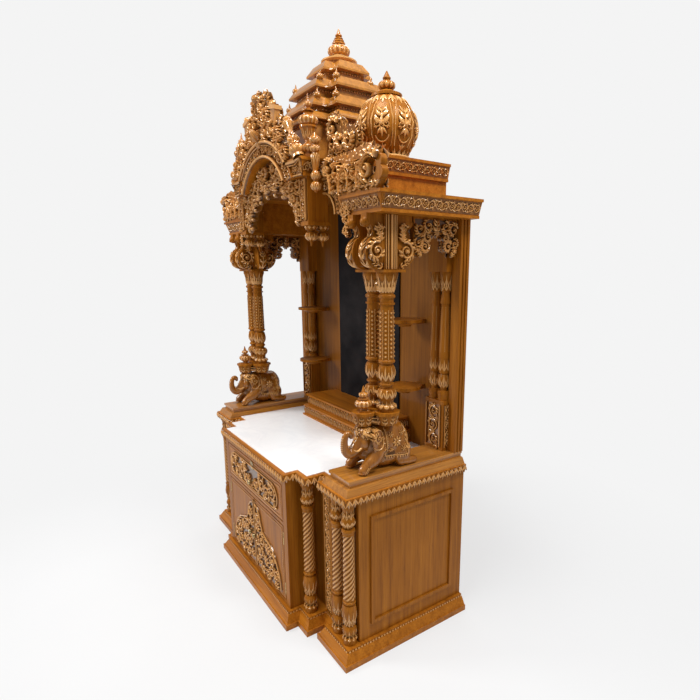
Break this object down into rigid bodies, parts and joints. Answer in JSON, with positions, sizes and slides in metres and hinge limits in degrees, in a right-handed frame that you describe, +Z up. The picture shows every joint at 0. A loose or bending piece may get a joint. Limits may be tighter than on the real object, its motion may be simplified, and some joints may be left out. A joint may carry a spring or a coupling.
{
  "type": "pooja mandir",
  "caption": "Free-standing carved teak home temple with a marble-topped cabinet base, open pillared shrine, arched canopy, side domes and a tiered roof.",
  "frame": {"origin": "on the floor, midway between the sides and midway between the front and the back of the side wings' plinth", "axes": "+Z up, +X to the temple's right side as seen from the front, -Y out of the front"},
  "size_m": [1.4686, 0.687, 2.44],
  "materials": {
    "teak": "satin varnished honey teak",
    "marble": "polished white marble",
    "black_cloth": "black backing cloth",
    "brass": "aged brass"
  },
  "bodies": {
    "temple": {"back_panel": "black_cloth", "back_posts": "teak", "back_wall": "teak", "base_columns": "teak", "base_sides": "teak", "base_top": "teak", "bracket_capitals": "teak", "cabinet_carcass": "teak", "canopy_aprons": "teak", "canopy_cornice": "teak", "canopy_crest": "teak", "canopy_pendants": "teak", "canopy_urns": "teak", "canopy_valance": "teak", "ceiling": "teak", "column_pedestals": "teak", "corner_drops": "teak", "crest_horns": "teak", "crown_finial": "teak", "deity_platform": "teak", "elephants": "teak", "frame_hinges": "brass", "front_columns": "teak", "keystone": "teak", "marble_top": "marble", "pedestal_kalashes": "teak", "pilasters": "teak", "plinth": "teak", "roof_tier_1": "teak", "roof_tier_2": "teak", "roof_tier_3": "teak", "roof_tier_4": "teak", "side_valances": "teak", "upper_cornices": "teak", "wall_shelves": "teak", "wing_arches": "teak", "wing_cornices": "teak", "wing_crests": "teak", "wing_domes": "teak", "wing_risers": "teak", "wing_scrolls": "teak", "wing_steps": "teak"},
    "drawer": {"drawer": "teak", "drawer_fittings": "brass"},
    "door_left": {"door_left": "teak", "door_fittings_left": "brass"},
    "door_right": {"door_right": "teak", "door_fittings_right": "brass"}
  },
  "joints": [
    {"name": "drawer_slide", "type": "slide", "parent": "temple", "child": "drawer", "axis": [0, -1, 0], "range_m": [0, 0.36]},
    {"name": "door_left_hinge", "type": "hinge", "parent": "temple", "child": "door_left", "pos_m": [-0.3095, -0.346, 0.25], "axis": [0, 0, -1], "range_deg": [0, 95]},
    {"name": "door_right_hinge", "type": "hinge", "parent": "temple", "child": "door_right", "pos_m": [0.3095, -0.346, 0.25], "axis": [0, 0, 1], "range_deg": [0, 95]}
  ]
}
